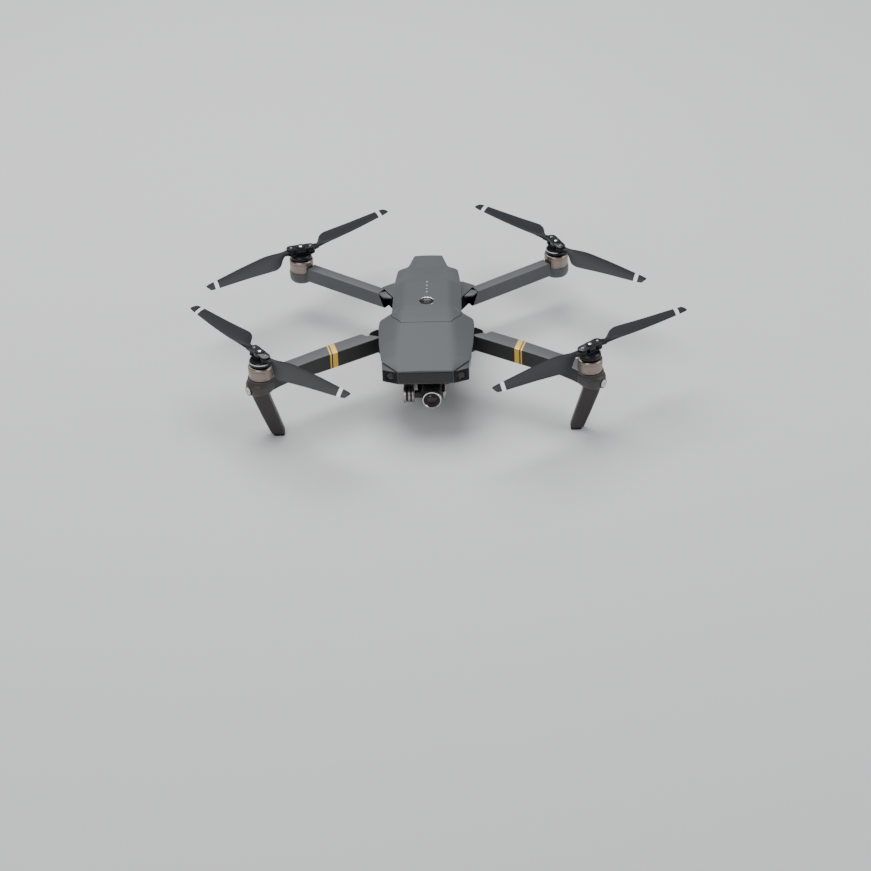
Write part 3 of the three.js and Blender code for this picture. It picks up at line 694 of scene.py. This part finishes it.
def makeMountTrim():
    x, y = frontArm["motor"]
    out = Vector((*frontArm["outward"], 0))
    at = Vector((x, y, lampTrim["height"])) + out * lampTrim["reach"]
    addPair("frontLamp", turned("lampLens", lampTrim["lens"], at, out), lampWhite, "front_arm_{}",
            "front_lamp_{}")
    addPair("lampBezel", ringMesh("lampBezel", lampTrim["bezel"], at, out), darkPlastic,
            "front_arm_{}")
    addPair("lampCore", turned("lampCore", lampTrim["core"], at, out, 24), copperWire,
            "front_arm_{}")
    addPair("mountSeam", ringMesh("mountSeam", lampTrim["seam"], (x, y, 0)), gapAndShadeBlack,
            "front_arm_{}")


leg = {
    # down the leg: its centre's x, y and height, then half its width and half its depth
    "sections": [(144.2, -106.6, 29.6, 7.8, 6.8), (143.4, -106.6, 25, 7.6, 6.4),
                 (141.6, -106.5, 18, 7.3, 5.8), (135.8, -106.5, 1, 7.0, 5.3),
                 (130.7, -106.6, -13.4, 6.4, 4.9), (130.1, -106.65, -15.6, 5.9, 4.5)],
    "rounding": 3.4, "padEdge": 0.9,
}
footTread = {"count": 4, "pitch": 1.9, "width": 0.8, "start": 1.0, "inset": 0.8, "height": 0.5, "edge": 0.1}


def makeLegs():
    rings = []
    for x, y, z, halfX, halfY in leg["sections"]:
        corners = [(x - halfX, y - halfY), (x + halfX, y - halfY), (x + halfX, y + halfY),
                   (x - halfX, y + halfY)]
        rings.append([Vector((*point, z)) for point in arcCorners(corners, leg["rounding"], 6)])
    addPair("landingLeg", skin("leg", rings), legBrown, "front_arm_{}",
            "landing_leg_{}")
    low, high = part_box("landing_foot_right")
    pad = boxAt("pad", [c / mm for c in low], [c / mm for c in high], leg["padEdge"])
    near, far = low.y / mm + footTread["inset"], high.y / mm - footTread["inset"]
    bottom = low.z / mm
    tread = []
    for i in range(footTread["count"]):
        x = low.x / mm + footTread["start"] + i * footTread["pitch"]
        tread.append(boxAt("rib", (x, near, bottom),
                           (x + footTread["width"], far, bottom + footTread["height"]), footTread["edge"]))
    addPair("footPad", joined("footPad", [pad] + tread), rubberBlack, "front_arm_{}",
            "landing_foot_{}")


makeFrontArms()
makeLegs()
print("front arms made")


# rear arms

rearArm = {
    "root": Vector((41.0, 58.5, 21.0)), "motor": Vector((116.6, 106.15, 25.2)),
    "folded": (0.02, -0.9965, -0.088),  # which way the arm points when it is folded
    "outline": [(6.2, -6.8), (5.3, 6.6), (-5.4, 6.6), (-5.0, -6.8)], "rounding": [2.2, 1.1, 1.1, 2.2],
    # along the arm from its root, with the share of the end's slope, per millimetre of height
    "sections": [(-1.6, 1), (-0.6, 1), (8, 0.5), (30, 0), (60, 0), (78, 0), (81.5, -0.4)], "slope": 0.46,
    "mount": [(0, 15.4), (8.4, 15.4), (9.6, 15.9), (10.6, 17.2), (11.1, 19.0), (11.2, 20.6),
              (11.2, 25.2), (11.0, 25.8), (10.5, 26.1), (0, 26.1)],
    "bellRoom": [(0, 26.15), (11.6, 26.15), (11.6, 60), (0, 60)],
    "cap": [(32.3, 46.6), (40.3, 47.8), (44.5, 54.5), (43.4, 57), (38.6, 58.6), (36.0, 53.8)],
    "capHeights": (26.3, 27.6),
    "foot": [(0, 14.9), (4.6, 14.9), (5.2, 15.3), (5.2, 15.8), (0, 15.8)],
    "disc": [(0, -2.6), (4.4, -2.6), (4.9, -2.1), (4.9, 3.0), (0, 3.0)],
}


def makeRearArms():
    root, motor = rearArm["root"], rearArm["motor"]
    flat = Vector((motor.x - root.x, motor.y - root.y, 0))
    along = flat.normalized()
    across = Vector((along.y, -along.x, 0))
    outline = arcCorners(rearArm["outline"], rearArm["rounding"], 5)
    rings = []
    for distance, share in rearArm["sections"]:
        centre = root.z + (motor.z - root.z) * max(distance, 0) / flat.length
        ring = []
        for point in outline:
            shift = distance + share * rearArm["slope"] * point.y
            ring.append(Vector((*(root + along * shift + across * point.x).xy, centre + point.y)))
        rings.append(ring)
    bellRoom = turned("bellRoom", rearArm["bellRoom"], (motor.x, motor.y, 0))
    beam = cutBy(skin("beam", rings), bellRoom, "DIFFERENCE")
    paint(beam, lambda face: face.normal.dot(along) < -0.6)  # the root's end is painted black, painted shade in the hinge cavity
    mount = turned("mount", rearArm["mount"], (motor.x, motor.y, 0))
    addPair("rearArm", joined("rearArm", [beam, mount]), [armGrey, gapAndShadeBlack], "rear_arm_{}",
            "rear_arm_{}")
    foot = turned("foot", rearArm["foot"], (motor.x, motor.y, 0))
    addPair("rearMountFoot", foot, rubberBlack, "rear_arm_{}")
    cap = plate("cap", arcCorners(rearArm["cap"], 0.8), *rearArm["capHeights"], 0.35)
    addPair("rearArmCap", cap, armGrey, "rear_arm_{}")
    axis = (along + Vector(rearArm["folded"])).normalized()
    # the hinge disc is painted black, painted shade under the arm's cap
    disc = turned("hingeDisc", rearArm["disc"], root, axis)
    addPair("rearHingeDisc", disc, gapAndShadeBlack, "rear_arm_{}")


makeRearArms()
print("rear arms made")


# motors and propellers

motors = {
    # hub's turn and the blades' directions in degrees, which way it turns, and its collar's light ring
    "front_left": {"at": (-141.9, -106.15), "hub": 125, "blades": (127.5, -40), "handed": 1,
                   "ringed": True},
    "front_right": {"at": (141.9, -106.15), "hub": 43, "blades": (35.5, -142.5), "handed": -1,
                    "ringed": False},
    "rear_left": {"at": (-116.6, 106.15), "hub": 13.5, "blades": (45, -138.5), "handed": -1,
                  "ringed": False},
    "rear_right": {"at": (116.6, 106.15), "hub": 116, "blades": (135.5, -39.5), "handed": 1,
                   "ringed": True},
}
motorHeights = {"front": {"bell": 42.2, "blades": 62.0}, "rear": {"bell": 27.3, "blades": 45.9}}
bell = {
    "height": 10.6,
    "profile": [(0, 10.6), (8.6, 10.6), (9.3, 10.55), (10.3, 10.15), (10.8, 9.4), (10.8, 7.9), (10.55, 7.7),
                (10.55, 7.3), (10.8, 7.1), (10.8, 0.6), (10.6, 0.4), (10.6, 0), (10.8, -0.2), (10.8, -0.9),
                (10.6, -1.1), (9.6, -1.1), (9.6, 9.0), (1.5, 9.0), (1.5, 0.4), (0, 0.4)],
}
hub = {"pins": 8.9, "halfLength": 13.3, "halfWidth": 4.4, "inner": 2.15, "outer": 3.4,
       "collar": 9.7, "screw": (1.75, 0.55, 3.95), "pinScrew": (1.3, 0.5, 3.35)}  # radius, height, place
blade = {
    # outwards from the pin: distance, leading edge, trailing edge, thickness, rise of the leading edge
    "stations": [
        (6.0, 3.0, -3.0, 3.0, 0.0), (10, 3.4, -3.6, 2.8, 0.6), (15, 4.4, -6.8, 2.2, 2.0),
        (20, 5.2, -11.2, 1.9, 3.0), (24, 5.8, -14.2, 1.7, 3.4), (28, 6.1, -15.8, 1.6, 3.4),
        (33, 6.2, -16.2, 1.5, 3.2), (50, 6.0, -13.2, 1.3, 2.4),
        (68, 5.2, -10.2, 1.15, 1.6), (84.8, 4.2, -7.6, 1.0, 1.0), (88.8, 4.0, -7.0, 0.95, 0.9),
        (92.5, 3.5, -6.5, 0.9, 0.8), (95.2, 2.9, -6.2, 0.85, 0.7), (96.6, 1.9, -5.6, 0.7, 0.6),
    ],
    "band": (84.8, 88.8), "slant": (60, 0.5, 96.0),  # white stripe, and where and how much it leans
}


def spline(rows, steps):
    # smooth stations between the given ones
    dense = []
    for i in range(len(rows) - 1):
        a, b, c, d = rows[max(i - 1, 0)], rows[i], rows[i + 1], rows[min(i + 2, len(rows) - 1)]
        for step in range(steps):
            t = step / steps
            dense.append([0.5 * (2 * q + (r - p) * t + (2 * p - 5 * q + 4 * r - s) * t * t
                                 + (3 * q - p - 3 * r + s) * t ** 3) for p, q, r, s in zip(a, b, c, d)])
    return dense + [list(rows[-1])]


def bladeMesh(handed):
    rings, places = [], []
    upper = (0, 0.03, 0.12, 0.3, 0.5, 0.7, 0.88, 1)
    start, lean, end = blade["slant"]
    for x, lead, trail, thickness, rise in spline(blade["stations"], 4):
        skew = lean * min(max((x - start) / (blade["band"][0] - start), 0), 1,
                          max((end - x) / (end - blade["band"][1]), 0))
        points = []
        places.append(x)
        for surface, shares in ((1, upper), (-1, upper[-2:0:-1])):
            for share in shares:
                y = lead + (trail - lead) * share
                belly = math.sqrt(share) * (1 - share) * 2.1
                camber = 4 * share * (1 - share) * thickness * 0.35
                z = rise * (0.5 - share) + camber + surface * (belly * thickness * 0.5 + 0.12)
                points.append(Vector((x - skew * y, handed * y, z)))
        rings.append(points)
    wing = skin("wing", rings)
    inBand = [blade["band"][0] <= x < blade["band"][1] for x in places]
    across = len(rings[0])
    paint(wing, lambda face: face.index > 1 and inBand[(face.index - 2) // across])
    eye = turned("eye", [(0, -1.8), (3.7, -1.8), (4.1, -1.4), (4.1, 1.4), (3.7, 1.8), (0, 1.8)], (0, 0, 0))
    neck = boxAt("neck", (0, -3, -1.5), (9, 3, 1.5), 0.8)
    return joined("blade", [wing, eye, neck])


def barMesh(low, high):
    straight = hub["halfLength"] - hub["halfWidth"]
    outline = [Vector((math.copysign(straight, math.cos(a)) + hub["halfWidth"] * math.cos(a),
                       hub["halfWidth"] * math.sin(a))) for a in (math.pi * (i + 0.5) / 16 for i in range(32))]
    return plate("bar", outline, low, high, 0.35)


def hubMesh(collarDepth):
    low, radius = -hub["outer"], hub["collar"]
    foot = low - collarDepth
    collar = turned("collar", [
        (0, foot), (8.4, foot), (9.3, foot + 0.5), (radius, foot + 1.2), (radius, foot + 2.2),
        (radius - 0.5, foot + 2.6), (radius - 0.5, low - 2.0), (radius - 0.1, low - 1.7),
        (radius - 0.3, low - 1.0), (8.3, low), (0, low)], (0, 0, 0))
    core = boxAt("core", (-3.6, -4, -2.3), (3.6, 4, 2.3), 0.4)
    boss = turned("boss", [(0, 3.3), (4.2, 3.3), (4.2, 3.75), (3.9, 4.0), (0, 4.0)], (0, 0, 0))
    pins = [turned("pin", [(0, -2.2), (1.25, -2.2), (1.25, 2.2), (0, 2.2)], (side * hub["pins"], 0, 0))
            for side in (-1, 1)]
    return joined("hub", [collar, barMesh(-hub["outer"], -hub["inner"]), barMesh(hub["inner"], hub["outer"]),
                          core, boss] + pins)


def screwMesh(radius, height, at):
    # domed screw head with a cross recess
    dome = turned("screw", [(0, 0), (radius, 0), (radius, height * 0.5), (radius * 0.8, height * 0.9),
                            (0, height)], at, segments=32)
    x, y, z = at
    arm, half = radius * 0.62, radius * 0.14
    for sizeX, sizeY in ((arm, half), (half, arm)):
        cutter = boxAt("slot", (x - sizeX, y - sizeY, z + height * 0.55), (x + sizeX, y + sizeY, z + 3), 0.01)
        dome = cutBy(dome, cutter, "DIFFERENCE")
    return dome


def placed(mesh, at, turn=0.0):
    copy = mesh.copy()
    copy.transform(Matrix.Translation(Vector(at) * mm) @ Matrix.Rotation(math.radians(turn), 4, "Z"))
    return copy


def makeMotors():
    radius, height, z = hub["screw"]
    heads = [screwMesh(radius, height, (0, 0, z))]
    radius, height, z = hub["pinScrew"]
    heads += [screwMesh(radius, height, (side * hub["pins"], 0, z)) for side in (-1, 1)]
    screws = joined("screws", heads)
    wings = {handed: bladeMesh(handed) for handed in (1, -1)}
    for name, motor in motors.items():
        x, y = motor["at"]
        heights = motorHeights[name.split("_")[0]]
        depth = heights["blades"] - hub["outer"] - (heights["bell"] + bell["height"]) - 0.3
        centre = (x, y, heights["blades"])
        body = f"prop_{name}"
        outside = turned("bell", bell["profile"], (x, y, heights["bell"]))
        addPiece(f"motorBell_{name}", outside, bellMetal, body, [f"motor_bell_{name}"])
        addPiece(f"propHub_{name}", placed(hubMesh(depth), centre, motor["hub"]), hubBlack, body,
                 [f"prop_hub_{name}"])
        addPiece(f"hubScrews_{name}", placed(screws, centre, motor["hub"]), brightMetal, body)
        if motor["ringed"]:
            low = -hub["outer"] - depth + 2.7
            ring = ringMesh("ring", [(9.15, low), (9.5, low), (9.5, low + 0.9), (9.15, low + 0.9),
                                     (9.15, low)], centre)
            addPiece(f"collarRing_{name}", ring, tipWhite, body)
        turn = math.radians(motor["hub"])
        for i, direction in enumerate(motor["blades"]):
            side = hub["pins"] * (1 if i == 0 else -1)
            pin = (x + side * math.cos(turn), y + side * math.sin(turn), heights["blades"])
            node = f"prop_blade_{name}_{i + 1}"
            addPiece(f"propBlade_{name}_{i + 1}", placed(wings[motor["handed"]], pin, direction),
                     [bladeBlack, tipWhite], f"blade_{name}_{i + 1}", [node])


makeMotors()
print("motors and propellers made")


# nose: sensor corners, fascia edges

nose = {
    "window": Vector((31.0, -104.49, 36.0)), "out": Vector((5.7, -13.3, 0)).normalized(),
    "eyeRing": [(2.9, -0.5), (4.0, -0.5), (4.0, 0.05), (3.6, 0.3), (3.2, -0.1), (2.9, -0.5)],
    "eye": [(0, -0.6), (3.1, -0.6), (2.9, -0.25), (1.8, 0.05), (0, 0.2)],
    "strip": {"x": 23.8, "front": -108.0, "back": -106.0, "low": 30.4, "high": 42.0, "half": 0.4},
}


def makeNose():
    pod = softened("vision_sensor_right", 0.45)
    paint(pod, lambda face: face.normal.z > 0.8)
    addPair("sensorPod", pod, [windowBlack, ledgeGrey], "airframe", "vision_sensor_{}")
    at = nose["window"] - nose["out"] * 0.4
    addPair("sensorEyeRing", ringMesh("eyeRing", nose["eyeRing"], at, nose["out"]), hubBlack, "airframe")
    addPair("sensorEye", turned("eye", nose["eye"], at, nose["out"]), lensBlack, "airframe")
    addPiece("noseFascia", softened("nose_fascia", 0.5), darkPlastic, "airframe",
             ["nose_fascia"])
    strip = nose["strip"]
    edge = boxAt("strip", (strip["x"] - strip["half"], strip["front"], strip["low"]),
                 (strip["x"] + strip["half"], strip["back"], strip["high"]), 0.25)
    addPair("fasciaEdge", edge, shellGrey, "airframe")


makeNose()
print("nose made")


# lower body: shell, belly, vents, screws, feet, latches and port cover

belly = {
    "screws": [(-19.5, -50), (19.5, -50), (-19.5, 52), (19.5, 52), (-20.5, 0), (20.5, 0)],
    "ventSlots": [-52, -47.6, -43.2, -38.8], "ventHalf": 1.3, "ventLow": 9.0, "ventHigh": 19.5,
    "ventDepth": (23.2, 24.15),
    "latchRibs": {"places": range(41, 52, 2), "width": 0.8, "low": 37.4, "high": 40.8, "proud": 0.3},
}


def hingeShadeFaces(face):
    # the walls of the cavity round the rear hinge, which are painted black as painted shade
    x, y, z = abs(face.center.x) / mm, face.center.y / mm, face.center.z / mm
    turnedIn = abs(face.normal.x) * 0.85 - face.normal.y * 0.5 > 0.3 and face.normal.z < 0.5
    return x > 30.5 and 40 < y < 68 and z < 27.4 and turnedIn


def makeLowerBody():
    shell = softened("lower_shell", 0.6)
    paint(shell, hingeShadeFaces)
    addPiece("lowerBody", shell, [shellGrey, gapAndShadeBlack], "airframe", ["lower_shell"])
    addPiece("bellyCover", softened("belly_plate", 0.4), darkPlastic, "airframe",
             ["belly_plate"])
    addPiece("bellySensorEyes", softened("belly_sensor", 0.25), hubBlack, "airframe",
             ["belly_sensor"])
    screw = screwMesh(1.5, 0.5, (0, 0, 0))
    screw.transform(Matrix.Rotation(math.pi, 4, "X"))
    heads = joined("heads", [placed(screw, (x, y, 0.15)) for x, y in belly["screws"]])
    addPiece("bellyScrews", heads, brightMetal, "airframe")
    (inner, outer), ribs = belly["ventDepth"], belly["latchRibs"]
    for side, sign in sides.items():
        slots = [boxAt("slot", (min(sign * inner, sign * outer), y - belly["ventHalf"], belly["ventLow"]),
                       (max(sign * inner, sign * outer), y + belly["ventHalf"], belly["ventHigh"]), 0.2)
                 for y in belly["ventSlots"]]
        addPiece(f"sideVents_{side}", joined("vents", slots), gapAndShadeBlack, "airframe")
        foot = softened(f"rear_foot_{side}", 0.7)
        addPiece(f"rearFoot_{side}", foot, rubberBlack, "airframe", [f"rear_foot_{side}"])
        latch = softened(f"battery_latch_{side}", 0.5)
        low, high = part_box(f"battery_latch_{side}")
        face = (high.x if sign > 0 else low.x) / mm
        reach = sorted((face, face + sign * ribs["proud"]))
        raised = [boxAt("rib", (reach[0], y, ribs["low"]), (reach[1], y + ribs["width"], ribs["high"]), 0.12)
                  for y in ribs["places"]]
        addPiece(f"batteryLatch_{side}", joined("latch", [latch] + raised), shellGrey, f"battery_latch_{side}",
                 [f"battery_latch_{side}"])
    cover = softened("port_cover", 0.35)
    addPiece("portCover", cover, shellGrey, "port_cover", ["port_cover"])


makeLowerBody()
print("lower body made")


# gimbal and camera

gimbal = {
    "yaw": {"at": (-2, -72), "profile": [
        (0, 18.6), (6.0, 18.6), (6.8, 19.3), (6.8, 21.2), (6.4, 21.4), (6.4, 21.9), (6.8, 22.1),
        (6.8, 25.6), (6.2, 26.2), (0, 26.2)]},
    "roll": {"at": (-2, -72, 10), "profile": [
        (0, -4.6), (5.8, -4.6), (6.4, -4.0), (6.4, -1.0), (6.0, -0.8), (6.0, 0), (6.4, 0.2),
        (6.4, 3.6), (5.8, 4.2), (0, 4.2)]},
    "tilt": {"at": (-20.4, -91, 10), "profile": [
        (0, 0), (6.4, 0), (7.1, 0.3), (7.4, 0.9), (7.4, 2.2), (6.5, 2.3), (6.5, 4.3), (7.4, 4.4),
        (7.4, 6.0), (6.7, 6.1), (6.7, 7.6), (7.4, 7.7), (7.4, 8.7), (7.0, 9.3), (0, 9.4)]},
    "grooveRadius": 7.15,
    "bars": [  # low corner, high corner, softness of the edges
        ((-20.4, -80, 5.4), (16.2, -77, 14.6), 0.8), ((-20.4, -91, 5), (-13, -79, 15), 1.0),
        ((13.4, -95, 6), (16.2, -79, 14), 0.9)],
    "face": {"at": (-2, -76.6, 10), "profile": [(0, 0), (6.4, 0), (6.4, 3.4), (0, 3.4)]},
    "earCap": {"at": (16.2, -91, 10), "profile": [(0, 0), (3.6, 0), (3.2, 0.5), (0, 0.6)]},
}


def turnedPart(name, part, axis):
    return turned(name, part["profile"], part["at"], axis)


def makeGimbal():
    addPiece("gimbalPlate", softened("gimbal_plate", 0.3), darkPlastic, "airframe",
             ["gimbal_plate"])
    x, y = gimbal["yaw"]["at"]
    yawMotor = turned("yawMotor", gimbal["yaw"]["profile"], (x, y, 0))
    neck = boxAt("neck", (x - 4, y - 4, 10), (x + 4, y + 4.5, 19), 1.2)
    roll = turnedPart("rollMotor", gimbal["roll"], (0, -1, 0))
    addPiece("yawArm", joined("yawArm", [yawMotor, neck, roll]), gimbalMetal, "gimbal_yaw",
             ["gimbal_yaw_arm"])
    tilt = turnedPart("tiltMotor", gimbal["tilt"], (1, 0, 0))
    axle = Vector(gimbal["tilt"]["at"])
    # the grooves round the tilt motor are painted dark, painted shade in the recesses
    paint(tilt, lambda face: (face.center / mm - axle).yz.length < gimbal["grooveRadius"]
          and abs(face.normal.x) < 0.5)
    earCap = turnedPart("earCap", gimbal["earCap"], (1, 0, 0))
    bars = [boxAt("bar", *bar) for bar in gimbal["bars"]]
    face = turnedPart("face", gimbal["face"], (0, -1, 0))
    addPiece("rollArm", joined("rollArm", [tilt, earCap] + bars + [face]), [gimbalMetal, darkPlastic],
             "gimbal_roll", ["gimbal_roll_arm"])
    makeCameraHead()


cameraHead = {
    "low": (-4.4, 2.0), "high": (13.0, 18.0), "front": -98, "back": -84.6, "rounding": 5.2,
    "ribs": [2.2 + 2.3 * i for i in range(5)], "ribHalf": 0.45,  # ribs from the back
    "shaft": {"at": (-10.6, -91, 10), "profile": [(0, 0), (3.4, 0), (3.4, 6.6), (0, 6.6)]},
    "lensAt": (4.5, -97, 9.4),
    "barrel": [(0, 0), (8.3, 0), (8.3, 2.2), (8.0, 2.4), (8.0, 2.8), (0, 2.8)],
    "rim": [(7.1, 2.6), (8.4, 2.6), (8.4, 3.9), (8.1, 4.4), (7.4, 4.5), (7.1, 4.1), (7.1, 2.6)],
    "stack": [(0, 2.7), (7.1, 2.7), (7.1, 3.9), (5.9, 3.5), (5.8, 3.3), (4.6, 3.2), (4.5, 3.0), (0, 3.0)],
    "glass": [(0, 2.9), (4.4, 2.9), (3.8, 3.5), (2.2, 4.0), (0, 4.15)],
}


def uprightRing(low, high, y):
    # a rounded rectangle standing across the drone
    (x0, z0), (x1, z1) = low, high
    outline = arcCorners([(x0, z0), (x1, z0), (x1, z1), (x0, z1)], cameraHead["rounding"], 6)
    return [Vector((point.x, y, point.y)) for point in outline]


def makeCameraHead():
    (x0, z0), (x1, z1) = cameraHead["low"], cameraHead["high"]
    front, back = cameraHead["front"], cameraHead["back"]
    housing = skin("housing", [
        uprightRing((x0 + inset, z0 + inset), (x1 - inset, z1 - inset), y)
        for y, inset in ((back, 1.2), (back - 1.0, 0.2), (front + 1.0, 0), (front, 0.5))])
    half = cameraHead["ribHalf"]
    ribs = [skin("rib", [uprightRing((x0 - 0.25, z0 + 6), (x1 + 0.25, z1 + 0.3), back - place + dy)
                         for dy in (-half, half)]) for place in cameraHead["ribs"]]
    shaft = turnedPart("shaft", cameraHead["shaft"], (1, 0, 0))
    lensAt, forward = cameraHead["lensAt"], (0, -1, 0)
    barrel = turned("barrel", cameraHead["barrel"], lensAt, forward)
    addPiece("cameraHousing", joined("camera", [housing, shaft, barrel] + ribs), darkPlastic, "camera",
             ["camera_body"])
    addPiece("cameraRim", ringMesh("rim", cameraHead["rim"], lensAt, forward), brightMetal, "camera")
    addPiece("lensStack", turned("lensStack", cameraHead["stack"], lensAt, forward), hubBlack,
             "camera")
    addPiece("lensGlass", turned("lensGlass", cameraHead["glass"], lensAt, forward), lensBlack,
             "camera", ["camera_lens"])


makeGimbal()
print("gimbal and camera made")
